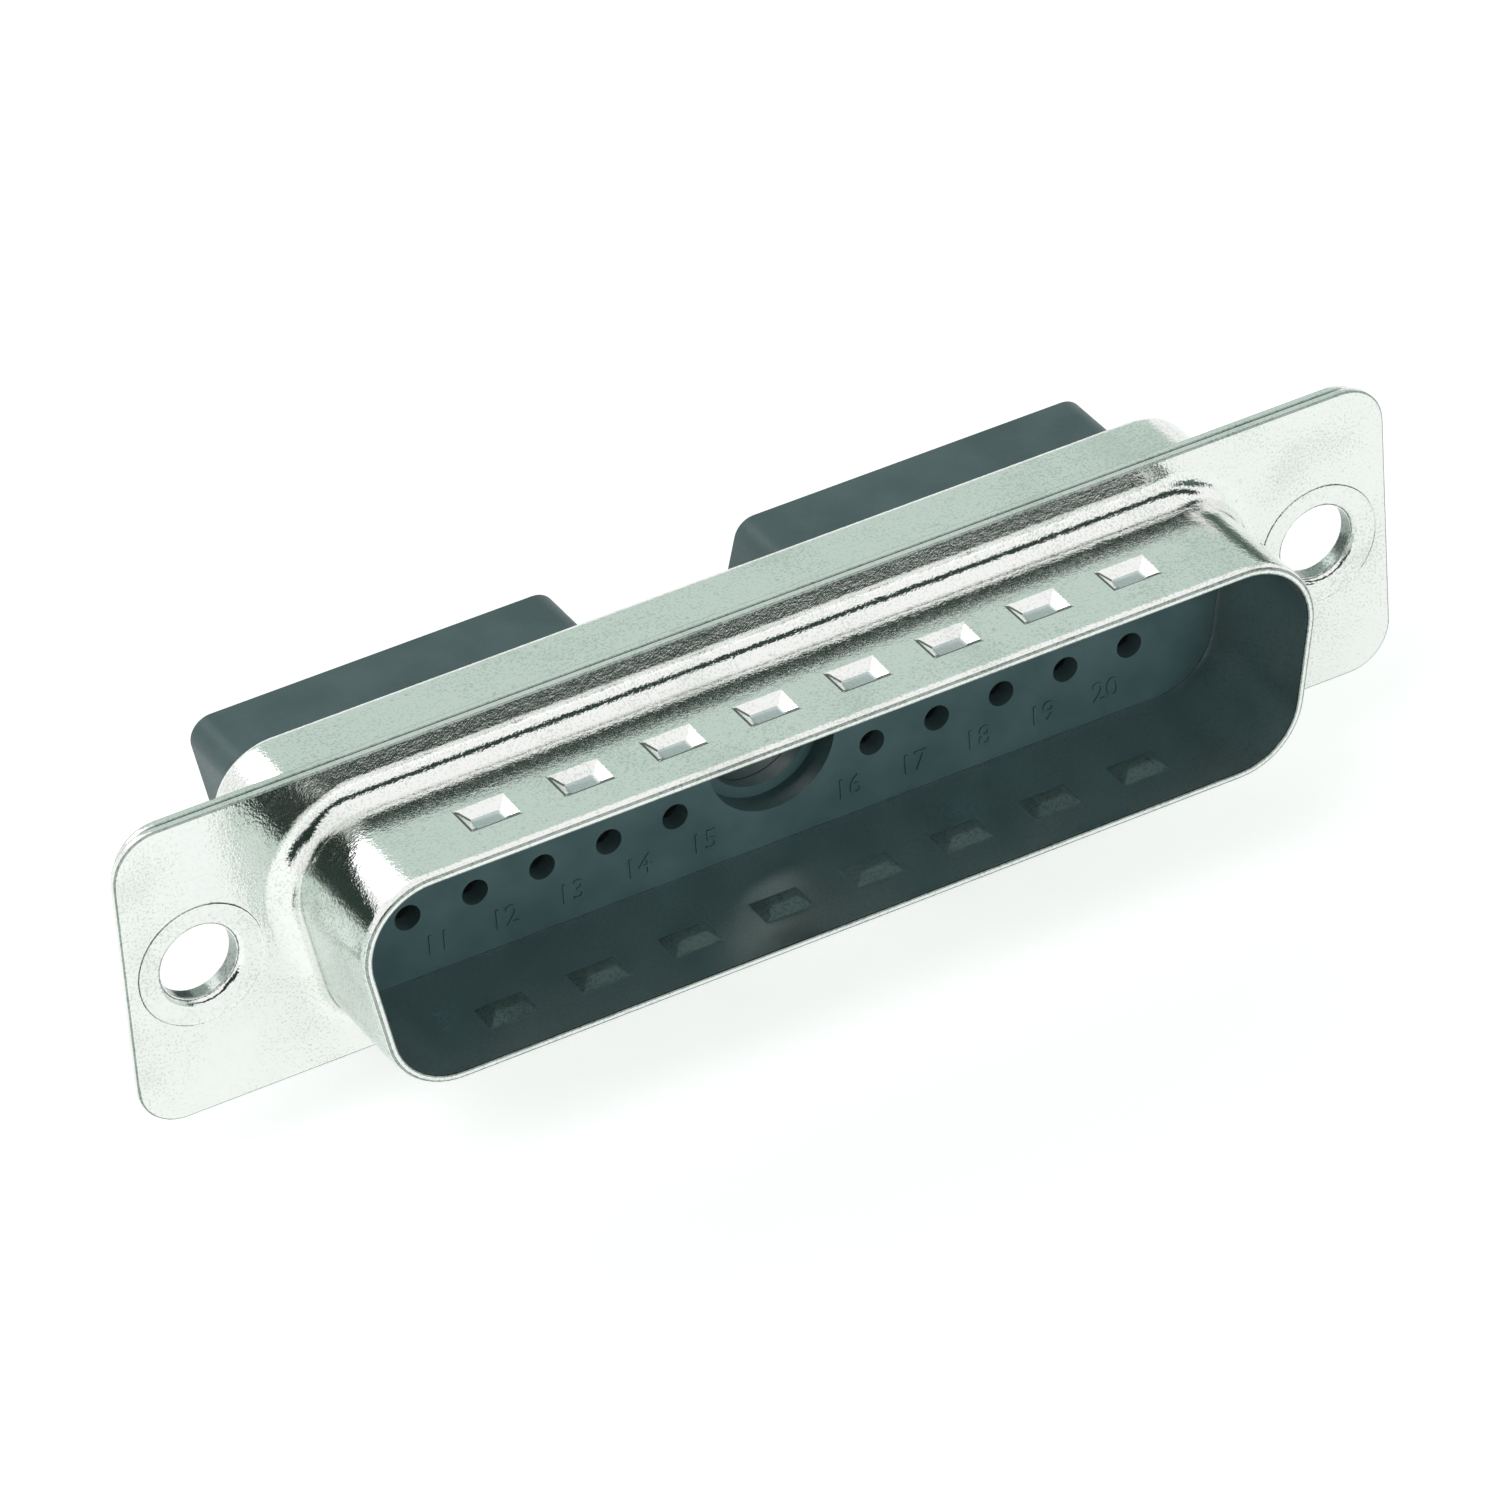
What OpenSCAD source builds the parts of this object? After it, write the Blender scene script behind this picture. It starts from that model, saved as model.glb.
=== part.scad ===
// D-sub plug connector, shell size B, mixed layout: one centre coax cavity
// between two groups of signal cavities, supplied without contacts.
// Millimetres. +X runs along the flange, the mating face looks to -Y and the
// wide side of the D is at +Z. The origin is the centre of the flange's front
// face, midway between the two mounting holes.

/* [Flange] */
// Distance from a mounting hole's centre to the end of the front flange
hole_edge = 3; // [2.6:0.02:5]
// How far both flanges stand out above and below the inside of the D
flange_rise = 2.075; // [2.025:0.005:2.8]
// Corner radius of both flanges
flange_r = 1.8; // [0.5:0.1:3]
// Thickness of the drawn steel sheet
sheet_t = 0.35; // [0.3:0.01:0.4]
// How far each end of the rear flange stands in from the front one
rear_flange_in = 0.27; // [0.1:0.01:0.6]
// Distance from the inside of the D, at its wide side, to a mounting hole's centre
hole_side = 4.04; // [3.9:0.02:4.6]
// Clear diameter of a mounting hole
hole_d = 3.05; // [2.8:0.05:3.2]
// Wall of the collar that passes through the rear flange
collar_t = 0.25; // [0.2:0.01:0.3]
// How far the flared end of the collar reaches past its wall
flare_w = 0.4; // [0.3:0.05:0.5]
// Thickness of the flared end
flare_t = 0.25; // [0.2:0.01:0.3]
// Diameter of the ring pressed flat around each hole
coin_d = 5; // [4.2:0.1:5.1]
// Depth of that ring
coin_depth = 0.03; // [0.01:0.01:0.06]

/* [Shroud] */
// Inside width of the D, at its wide side
shroud_w = 38.96; // [38.7:0.02:39.1]
// Inside height of the D
shroud_h = 8.4; // [8.2:0.02:8.6]
// Inside corner radius of the D
shroud_r = 2.6; // [2.2:0.1:2.8]
// Slope of every D side
side_angle = 10; // [8:0.5:11]
// Reach of the shroud in front of the flange
shroud_d = 5.78; // [5.2:0.02:6.2]
// Radius between the flange and the shroud
root_r = 1; // [0.6:0.05:1.05]
// Radius of the rolled outer edge at the rim
rim_roll_r = 0.8; // [0.5:0.05:1.2]
// Length of that rolled edge along the shroud
rim_roll_l = 0.38; // [0.2:0.02:0.45]

/* [Grounding dimples] */
// Dimples along the top, and again along the bottom
dimple_count = 8; // [2:1:8]
// Distance between dimples
dimple_pitch = 3.81; // [3:0.01:4]
// Length of a dimple along the shroud
dimple_l = 2; // [1.6:0.05:2.4]
// Width of a dimple from front to back
dimple_w = 1.4; // [1.2:0.05:1.7]
// Depth of a dimple
dimple_depth = 0.35; // [0.2:0.01:0.38]
// How far each wall of a dimple leans in on its way to the floor
dimple_taper = 0.44; // [0.3:0.01:0.5]
// Distance of the dimple row from the flange's front face
dimple_reach = 3.4; // [2.8:0.05:3.8]

/* [Rear cup] */
// How far each side of the rear cup stands outside the inside of the D
cup_side = 1.17; // [1.12:0.01:1.27]
// How far the cup's top and bottom stand outside the inside of the D
cup_rise = 1.16; // [1.1:0.01:1.2]
// Outside corner radius of the rear cup
cup_r = 2.6; // [2.4:0.1:2.8]
// Distance of the cup's back from the flange's front face
cup_back = 4.45; // [4.2:0.05:5]
// Radius between the rear flange and the cup
cup_root_r = 0.4; // [0.3:0.05:0.45]
// Outside radius at the cup's back edge
cup_edge_r = 0.5; // [0.45:0.05:0.7]
// How far the cup's back lip turns in
lip_w = 0.9; // [0.7:0.05:1.1]

/* [Signal cavities] */
// Most signal cavities in each row on one side of the coax cavity
row_count = 5; // [3:1:5]
// Least wall between a clip chamber and the end of the front insulator's spigot
cavity_wall = 0.4; // [0.3:0.05:0.6]
// Distance between cavities in a row
pitch = 2.77; // [2.7:0.01:2.78]
// Distance between the two rows
row_gap = 2.84; // [2.8:0.01:2.9]
// Diameter of the pin hole in the front face
pin_d = 1.06; // [0.9:0.02:1.2]
// Diameter of the clip chamber
chamber_d = 2.1; // [1.95:0.01:2.14]
// Front end of the clip chamber
chamber_front = 1; // [0.8:0.05:1.2]
// Back end of the clip chamber
chamber_back = 4.6; // [4.4:0.05:5]
// Diameter of the contact entry at the back
entry_d = 1.8; // [1.6:0.02:1.86]
// Widening of the contact entry at the back face
entry_lead = 0.25; // [0.1:0.05:0.3]

/* [Coax cavity] */
// Diameter of the coax cavity at the front face
coax_front_d = 5.3; // [5:0.05:5.4]
// Depth of that wide front part
coax_front_l = 1.05; // [0.8:0.05:1.2]
// Diameter of the throat that stops the contact
coax_throat_d = 4.4; // [4:0.05:4.6]
// Length of the throat
coax_throat_l = 0.45; // [0.3:0.05:0.5]
// Diameter of the coax bore behind the throat
coax_bore_d = 4.9; // [4.8:0.05:5]

/* [Insulators] */
// Set-back of the front face from the flange's front face
face_y = 0.16; // [0.05:0.01:0.3]
// Gap around the front face inside the shroud
face_gap = 0.03; // [0.02:0.01:0.1]
// Back face of the front insulator's rim, where the rear one starts
rim_back = 1; // [0.8:0.05:1.1]
// Gap between both insulators and the cup's wall
cup_gap = 0.08; // [0.05:0.01:0.12]
// Set-in of the front insulator's spigot from the shroud's inside
spigot_in = 0.7; // [0.6:0.02:0.8]
// Back end of the spigot
spigot_back = 2.15; // [1.9:0.05:2.4]
// Gap around and behind the spigot
spigot_gap = 0.05; // [0.03:0.01:0.08]
// Gap where a moulding seats on sheet metal
seat_gap = 0.02; // [0.01:0.01:0.05]
// Gap around the rear insulator in the cup's back opening
lip_gap = 0.1; // [0.05:0.01:0.15]

/* [Contact towers] */
// Back face of the towers
tower_back = 9.35; // [8.5:0.05:10.5]
// How far the towers' top and bottom stand in from the inside of the D
tower_drop = 0.785; // [0.6:0.005:0.9]
// How far each tower's outer side stands in from the inside of the D
tower_side = 0.96; // [0.78:0.02:1.04]
// Space between the towers at mid height
tower_gap = 6.1; // [5.9:0.02:6.3]
// Slope of the towers' facing sides
tower_lean = 16; // [10:0.5:20]
// Edge radius of the towers
tower_r = 0.9; // [0.5:0.05:1]

/* [Retention clips] */
// Gap between a clip and its chamber
clip_gap = 0.05; // [0.03:0.01:0.06]
// Thickness of a clip's strip
clip_t = 0.12; // [0.08:0.01:0.15]
// Width of the seam along a clip
clip_seam = 0.4; // [0.2:0.05:0.5]
// Length of a spring tine
tine_l = 1.5; // [1.2:0.05:1.7]
// How far a tine's tip stands in from the clip's wall
tine_in = 0.3; // [0.2:0.02:0.4]
// Arc that a tine covers, in degrees
tine_arc = 50; // [40:1:60]

/* [Hidden] */
$fn = 72;
eps = 0.01;

plate_back = 2 * sheet_t;
hole_pitch = shroud_w + 2 * hole_side;
flange_w = hole_pitch + 2 * hole_edge;
flange_h = shroud_h + 2 * flange_rise;
rear_flange_w = flange_w - 2 * rear_flange_in;
hole_r = hole_d / 2;
collar_r = hole_r + collar_t;
collar_gap = 0.03;
hole_x = hole_pitch / 2;

bend_r = root_r + sheet_t;
cup_bend_r = cup_root_r + sheet_t;
cup_w = shroud_w + 2 * cup_side;
cup_h = shroud_h + 2 * cup_rise;
tower_h = shroud_h - 2 * tower_drop;
tower_span = shroud_w - 2 * tower_side;
cup_in = [cup_w - 2 * sheet_t, cup_h - 2 * sheet_t, cup_r - sheet_t];
shroud_in = [shroud_w, shroud_h, shroud_r];

rim_front = sheet_t + seat_gap;
base_shoulder = cup_back - sheet_t - seat_gap;
recess_floor = spigot_back + spigot_gap;
coax_throat_y = face_y + coax_front_l;
coax_bore_y = coax_throat_y + coax_throat_l;

clip_r = chamber_d / 2 - clip_gap;
clip_front = chamber_front + clip_gap;
clip_back = chamber_back - clip_gap;

// Signal cavities that fit on one side in the row at height z, the first of them
// a number of pitches away from the centre.
function row_room(z) = shroud_w / 2 - spigot_in - cavity_wall - chamber_d / 2
    - (shroud_h / 2 - z) * tan(side_angle);
function row_fit(first, z) = min(row_count, floor(row_room(z) / pitch - first) + 1);
function row_at(first, z) = let (n = row_fit(first, z))
    [for (side = [-1, 1], i = [0:n - 1]) [side * (first + (side < 0 ? n - 1 - i : i)) * pitch, z]];

// Every signal cavity as [x, z]: the wide row left to right, then the narrow row.
cavities = concat(row_at(2, row_gap / 2), row_at(1.5, -row_gap / 2));

function two_digits(n) = n < 10 ? str("0", n) : str(n);
function clip_name(i) = str("retention_clip_", two_digits(i + 1));

// D outlines are [width, height, corner radius], with the wide side up.
function grown(d, by) = [d[0] + 2 * by, d[1] + 2 * by, d[2] + by];
function d_high(d) = d[1] / 2 - d[2];
function d_wide(d) = d[0] / 2 - d[2];
function d_narrow(d) = d_wide(d) - 2 * d_high(d) * tan(side_angle);

module d_shape(d) {
    r = d[2];
    z = d_high(d);
    side = r * [cos(side_angle), -sin(side_angle)];
    for (s = [-1, 1]) {
        translate([s * d_wide(d), z]) circle(r);
        translate([s * d_narrow(d), -z]) circle(r);
    }
    polygon([
        [-d_wide(d), z + r], [d_wide(d), z + r],
        [d_wide(d) + side[0], z + side[1]], [d_narrow(d) + side[0], -z + side[1]],
        [d_narrow(d), -z - r], [-d_narrow(d), -z - r],
        [-d_narrow(d) - side[0], -z + side[1]], [-d_wide(d) - side[0], z + side[1]]]);
}

// Extrudes an outline drawn in X and Z from y0 back to y1.
module along_y(y0, y1) {
    translate([0, y1, 0]) rotate([90, 0, 0]) linear_extrude(y1 - y0) children();
}

module drill(x, z, r, y0, y1) {
    along_y(y0, y1) translate([x, z]) circle(r);
}

// Sweeps a profile round a D outline: its x is the distance outwards from the
// outline and its y runs along the connector's Y axis. The pieces are joined at a
// thousandth of their size, where neighbouring ends meet within rounding.
module d_sweep(d) {
    k = 0.001;
    a = side_angle;
    wide = d_wide(d) * k;
    narrow = d_narrow(d) * k;
    z = d_high(d) * k;
    side_l = 2 * z / cos(a);
    edges = [[wide, z, 90, 2 * wide], [-wide, z, 180 + a, side_l],
        [-narrow, -z, 270, 2 * narrow], [narrow, -z, -a, side_l]];
    corners = [[wide, z, 90, 90 + a], [-wide, z, 180 + a, 90 + a],
        [-narrow, -z, 270, 90 - a], [narrow, -z, 360 - a, 90 - a]];
    scale(1 / k) {
        for (e = edges)
            translate([e[0], 0, e[1]]) rotate([0, -e[2], 0])
                linear_extrude(e[3]) scale(k) translate([d[2], 0]) children();
        for (c = corners)
            translate([c[0], 0, c[1]]) rotate([0, -c[2], 0]) rotate([-90, 0, 0])
                rotate_extrude(angle = c[3]) scale(k) translate([d[2], 0]) children();
    }
}

// Quarter of a bent sheet about a centre, inner radius r, kept inside one quadrant.
module bend(centre, r, quadrant) {
    reach = 2 * (r + sheet_t);
    translate(centre) intersection() {
        difference() {
            circle(r + sheet_t);
            circle(r);
        }
        translate([quadrant[0] < 0 ? -reach : 0, quadrant[1] < 0 ? -reach : 0])
            square(reach);
    }
}

module flange_plate(w, y0, cutout) {
    along_y(y0, y0 + sheet_t) difference() {
        union() {
            square([w - 2 * flange_r, flange_h], center = true);
            square([w, flange_h - 2 * flange_r], center = true);
            for (sx = [-1, 1], sz = [-1, 1])
                translate([sx * (w / 2 - flange_r), sz * (flange_h / 2 - flange_r)])
                    circle(flange_r);
        }
        d_shape(cutout);
    }
}

// Section of the shroud: bend out of the flange, straight wall and rolled rim.
module shroud_profile() {
    bend([bend_r, -root_r], root_r, [-1, 1]);
    translate([0, -shroud_d + rim_roll_l])
        square([sheet_t, shroud_d - rim_roll_l - root_r]);
    intersection() {
        translate([0, -shroud_d]) square([2 * sheet_t, rim_roll_l]);
        translate([sheet_t - rim_roll_r, -shroud_d + rim_roll_l]) circle(rim_roll_r);
    }
}

// One side view of the punch: half its length at height h is half(h).
module punch_side(length) {
    top = sheet_t / 3;
    function half(h) = length / 2 + dimple_taper * h / dimple_depth;
    polygon([[-half(top), top], [half(top), top],
        [half(-dimple_depth), -dimple_depth], [-half(-dimple_depth), -dimple_depth]]);
}

// Tapered punch that presses a dimple, from just above the sheet to the floor.
module dimple_punch() {
    intersection() {
        rotate([90, 0, 0]) linear_extrude(2 * dimple_w, center = true)
            punch_side(dimple_l);
        rotate([90, 0, 90]) linear_extrude(2 * dimple_l, center = true)
            punch_side(dimple_w);
    }
}

module each_dimple() {
    outer_z = shroud_h / 2 + sheet_t;
    first = -(dimple_count - 1) / 2 * dimple_pitch;
    for (i = [0:dimple_count - 1], flip = [0, 1])
        mirror([0, 0, flip])
            translate([first + i * dimple_pitch, -dimple_reach, outer_z]) children();
}

// Rolled entry, collar and flared end of one mounting hole, about its own axis.
module hole_collar() {
    rotate([-90, 0, 0]) rotate_extrude() {
        intersection() {
            translate([hole_r, 0]) square(sheet_t);
            translate([hole_r + sheet_t, sheet_t]) circle(sheet_t);
        }
        translate([hole_r, sheet_t]) square([collar_t, sheet_t]);
        difference() {
            translate([hole_r, plate_back]) square([collar_t + flare_w - flare_t / 2, flare_t]);
            translate([hole_r, plate_back + flare_t / 2]) difference() {
                square(flare_t / 2);
                translate([flare_t / 2, 0]) circle(flare_t / 2);
            }
        }
        translate([collar_r + flare_w - flare_t / 2, plate_back + flare_t / 2])
            circle(flare_t / 2);
    }
}

module front_shell() {
    color([0.78, 0.82, 0.79]) difference() {
        union() {
            difference() {
                flange_plate(flange_w, 0, grown(shroud_in, bend_r));
                for (s = [-1, 1])
                    drill(s * hole_x, 0, hole_r + sheet_t, -1, sheet_t + 1);
            }
            for (s = [-1, 1]) translate([s * hole_x, 0, 0]) hole_collar();
            d_sweep(shroud_in) shroud_profile();
            each_dimple() translate([0, 0, -sheet_t]) dimple_punch();
        }
        each_dimple() dimple_punch();
        for (s = [-1, 1]) drill(s * hole_x, 0, coin_d / 2, -1, coin_depth);
    }
}

// Section of the rear cup: bend out of the flange, wall, back edge and lip.
module cup_profile() {
    edge_in = cup_edge_r - sheet_t;
    bend([cup_bend_r, plate_back + cup_root_r], cup_root_r, [-1, -1]);
    translate([0, plate_back + cup_root_r])
        square([sheet_t, cup_back - cup_edge_r - plate_back - cup_root_r]);
    bend([-edge_in, cup_back - cup_edge_r], edge_in, [1, 1]);
    translate([-lip_w, cup_back - sheet_t]) square([lip_w - edge_in, sheet_t]);
}

module rear_shell() {
    color([0.74, 0.79, 0.76]) {
        difference() {
            flange_plate(rear_flange_w, sheet_t, grown(cup_in, cup_bend_r));
            for (s = [-1, 1])
                drill(s * hole_x, 0, collar_r + collar_gap, 0, plate_back + 1);
        }
        d_sweep(cup_in) cup_profile();
    }
}

module front_insulator() {
    color([0.16, 0.19, 0.19]) difference() {
        union() {
            along_y(face_y, rim_back) d_shape(grown(shroud_in, -face_gap));
            along_y(rim_front, rim_back) d_shape(grown(cup_in, -cup_gap));
            along_y(rim_back - eps, spigot_back) d_shape(grown(shroud_in, -spigot_in));
        }
        for (c = cavities) {
            drill(c[0], c[1], pin_d / 2, face_y - 1, chamber_front + 1);
            drill(c[0], c[1], chamber_d / 2, chamber_front, spigot_back + 1);
        }
        drill(0, 0, coax_front_d / 2, face_y - 1, coax_throat_y);
        drill(0, 0, coax_throat_d / 2, 0, coax_bore_y + 1);
        drill(0, 0, coax_bore_d / 2, coax_bore_y, spigot_back + 1);
    }
}

// One tower in X and Z: the outer side slopes like the D, the other leans over
// the space between the towers.
module tower_shape() {
    r = tower_r;
    z = tower_h / 2 - r;
    out_top = tower_span / 2 + z * tan(side_angle) - r / cos(side_angle);
    out_low = out_top - 2 * z * tan(side_angle);
    in_top = tower_gap / 2 + z * tan(tower_lean) + r / cos(tower_lean);
    in_low = in_top - 2 * z * tan(tower_lean);
    out = r * [cos(side_angle), -sin(side_angle)];
    lean = r * [-cos(tower_lean), sin(tower_lean)];
    for (c = [[out_top, z], [in_top, z], [out_low, -z], [in_low, -z]])
        translate(c) circle(r);
    polygon([
        [in_top, z + r], [out_top, z + r],
        [out_top, z] + out, [out_low, -z] + out,
        [out_low, -z - r], [in_low, -z - r],
        [in_low, -z] + lean, [in_top, z] + lean]);
}

module rear_insulator() {
    color([0.14, 0.17, 0.17]) difference() {
        union() {
            along_y(rim_back, base_shoulder) d_shape(grown(cup_in, -cup_gap));
            along_y(rim_back + eps, cup_back) d_shape(grown(cup_in, -lip_w - lip_gap));
            along_y(cup_back - eps, tower_back) {
                tower_shape();
                mirror([1, 0]) tower_shape();
            }
        }
        along_y(rim_back - 1, recess_floor) d_shape(grown(shroud_in, -spigot_in + spigot_gap));
        for (c = cavities) {
            drill(c[0], c[1], chamber_d / 2, recess_floor - eps, chamber_back);
            drill(c[0], c[1], entry_d / 2, chamber_back - eps, tower_back + 1);
            translate([c[0], tower_back, c[1]]) rotate([90, 0, 0])
                cylinder(h = entry_lead, r1 = entry_d / 2 + entry_lead, r2 = entry_d / 2);
        }
        drill(0, 0, coax_bore_d / 2, recess_floor - eps, cup_back + 1);
    }
}

// Split spring sleeve with two tines bent inwards, which hold a crimped contact.
module retention_clip() {
    tip_y = (clip_front + clip_back - tine_l) / 2;
    root_y = tip_y + tine_l;
    half = tine_arc / 2;
    color([0.80, 0.70, 0.42]) {
        difference() {
            along_y(clip_front, clip_back) difference() {
                circle(clip_r);
                circle(clip_r - clip_t);
            }
            translate([-clip_seam / 2, clip_front - 1, 0])
                cube([clip_seam, clip_back - clip_front + 2, clip_r + 1]);
            for (a = [0, 180])
                rotate([0, a, 0]) rotate([-90, -half, 0])
                    rotate_extrude(angle = tine_arc)
                        translate([clip_r - 2 * clip_t, tip_y - clip_t])
                            square([3 * clip_t, tine_l]);
        }
        for (a = [0, 180])
            rotate([0, a, 0]) rotate([-90, -half, 0])
                rotate_extrude(angle = tine_arc) polygon([
                    [clip_r - clip_t, root_y], [clip_r, root_y],
                    [clip_r, root_y - clip_t], [clip_r - tine_in, tip_y],
                    [clip_r - clip_t - tine_in, tip_y], [clip_r - clip_t, root_y - clip_t]]);
    }
}

front_shell();
rear_shell();
front_insulator();
rear_insulator();
for (i = [0:len(cavities) - 1])
    translate([cavities[i][0], 0, cavities[i][1]]) retention_clip();
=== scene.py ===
"""Looks of a D-sub plug connector: plated steel shells, moulded insulators and a plain studio."""

import logging
import math
from dataclasses import dataclass
from enum import Enum, IntEnum
from typing import Any

import bmesh
import bpy
from mathutils import Matrix, Vector


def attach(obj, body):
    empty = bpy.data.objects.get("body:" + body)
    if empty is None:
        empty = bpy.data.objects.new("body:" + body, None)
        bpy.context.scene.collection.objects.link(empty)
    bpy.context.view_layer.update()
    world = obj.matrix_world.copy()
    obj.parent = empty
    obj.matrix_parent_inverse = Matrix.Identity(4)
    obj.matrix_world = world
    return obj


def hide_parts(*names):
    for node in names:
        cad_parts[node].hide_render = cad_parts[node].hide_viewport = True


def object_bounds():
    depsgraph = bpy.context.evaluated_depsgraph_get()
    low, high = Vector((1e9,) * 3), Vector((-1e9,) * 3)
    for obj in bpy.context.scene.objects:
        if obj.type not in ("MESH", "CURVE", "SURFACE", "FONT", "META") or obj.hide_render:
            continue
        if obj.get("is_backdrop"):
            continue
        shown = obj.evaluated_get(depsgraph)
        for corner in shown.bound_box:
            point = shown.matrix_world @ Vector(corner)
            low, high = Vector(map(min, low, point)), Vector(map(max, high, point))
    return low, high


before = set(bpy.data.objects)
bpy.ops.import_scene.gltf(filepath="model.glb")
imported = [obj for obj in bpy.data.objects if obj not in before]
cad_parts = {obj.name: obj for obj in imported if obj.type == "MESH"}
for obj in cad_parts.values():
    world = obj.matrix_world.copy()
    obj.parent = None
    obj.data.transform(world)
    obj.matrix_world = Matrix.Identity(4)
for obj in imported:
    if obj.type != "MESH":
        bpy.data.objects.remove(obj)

LOG = logging.getLogger("d_sub_plug")
MM = 0.001
BROKEN_EDGE_MM = 0.07
WHITE = (1, 1, 1, 1)
Colour = tuple[float, float, float, float]
Place = tuple[float, float, float]
Span = tuple[float, float]


class Row(Enum):
    """The two rows of signal cavities: first number, first cavity in pitches from the middle, side in Z."""

    WIDE = (1, 2.0, 1)
    NARROW = (11, 1.5, -1)

    def __init__(self, first_number: int, first_pitch: float, side: int) -> None:
        """Names the row's three values.

        Args:
            first_number: The number of the cavity on the left.
            first_pitch: How many pitches the cavities nearest to the middle are from it.
            side: 1 above the middle, -1 below it.
        """
        self.first_number = first_number
        self.first_pitch = first_pitch
        self.side = side


class Lamp(Enum):
    """How a studio panel takes part in the lighting."""

    SOFTBOX = "softbox"
    FLAG = "flag"


class Coat(IntEnum):
    """The materials of a shell, by the number of their material slot: the plate is the tin's own colour,
    the others are darker or tinted copies with painted shade and painted reflection, the edge one partly
    also the duller colour of cut edges.
    """

    PLATE = 0
    EDGE = 1
    INSIDE = 2
    BUMP = 3
    PRESS = 4
    SIDE = 5


class NodeSheet:
    """The node tree of a material or a world, built one node at a time."""

    def __init__(self, owner: bpy.types.Material | bpy.types.World) -> None:
        """Empties the owner's node tree.

        Args:
            owner: The material or world.
        """
        owner.use_nodes = True
        self.owner = owner
        self.tree = owner.node_tree
        self.tree.nodes.clear()

    @classmethod
    def material(cls, name: str) -> "NodeSheet":
        """Starts a new material of this name and returns its empty sheet."""
        return cls(bpy.data.materials.new(name))

    def add(self, kind: str, inputs: dict[str | int, Any] | None = None, **settings: Any) -> bpy.types.Node:
        """Adds a node.

        Args:
            kind: The node's type name.
            inputs: Values or other nodes' sockets, by input name or number.
            settings: The node's own properties.

        Returns:
            The new node.
        """
        node = self.tree.nodes.new(kind)
        for key, value in settings.items():
            setattr(node, key, value)
        for key, value in (inputs or {}).items():
            if isinstance(value, bpy.types.NodeSocket):
                self.tree.links.new(value, node.inputs[key])
            else:
                node.inputs[key].default_value = value
        return node

    def where(self) -> bpy.types.NodeSocket:
        """Adds the object's own coordinates, which every pattern reads, and returns their socket."""
        return self.add("ShaderNodeTexCoord").outputs["Object"]

    def noise(self, where: bpy.types.NodeSocket, size_mm: float, detail: float) -> bpy.types.NodeSocket:
        """Adds a noise whose grains are about size_mm across.

        Args:
            where: The coordinates to read.
            size_mm: The grain size in millimetres.
            detail: How many finer layers lie on top.

        Returns:
            The noise's value socket.
        """
        inputs = {"Vector": where, "Scale": 1 / (size_mm * MM), "Detail": detail}
        return self.add("ShaderNodeTexNoise", inputs).outputs["Fac"]

    def ramp(self, value: bpy.types.NodeSocket, span: Span, result: Span) -> bpy.types.NodeSocket:
        """Maps a value from one range to another and clamps it.

        Args:
            value: The value socket to map.
            span: The values that give the two results.
            result: The results at the span's two ends.

        Returns:
            The mapped value socket.
        """
        inputs = {"Value": value, "From Min": span[0], "From Max": span[1]}
        inputs |= {"To Min": result[0], "To Max": result[1]}
        return self.add("ShaderNodeMapRange", inputs).outputs["Result"]

    def bump(
        self, height: bpy.types.NodeSocket, height_mm: float, under: bpy.types.NodeSocket | None = None
    ) -> bpy.types.NodeSocket:
        """Adds a relief to the surface.

        Args:
            height: The socket with the relief, from 0 to 1.
            height_mm: How high 1 stands, in millimetres.
            under: The normal socket of a relief that lies under this one.

        Returns:
            The normal socket.
        """
        inputs = {"Strength": 1.0, "Distance": height_mm * MM, "Height": height}
        if under is not None:
            inputs["Normal"] = under
        return self.add("ShaderNodeBump", inputs).outputs["Normal"]

    def math(self, operation: str, a: Any, b: Any) -> bpy.types.NodeSocket:
        """Adds an operation on two values or sockets and returns the result's socket."""
        return self.add("ShaderNodeMath", {0: a, 1: b}, operation=operation).outputs[0]

    def blend(self, factor: Any, a: Any, b: Any) -> bpy.types.NodeSocket:
        """Adds a blend of two colours, factor being the second's share, and returns its socket."""
        return self.add("ShaderNodeMix", {0: factor, 6: a, 7: b}, data_type="RGBA").outputs[2]

    def finish(self, shader: bpy.types.Node) -> bpy.types.Material | bpy.types.World:
        """Joins a shader to the output.

        Args:
            shader: The last shader node.

        Returns:
            The finished material or world.
        """
        kind = "World" if isinstance(self.owner, bpy.types.World) else "Material"
        self.add("ShaderNodeOutput" + kind, {"Surface": shader.outputs[0]})
        return self.owner


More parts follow.
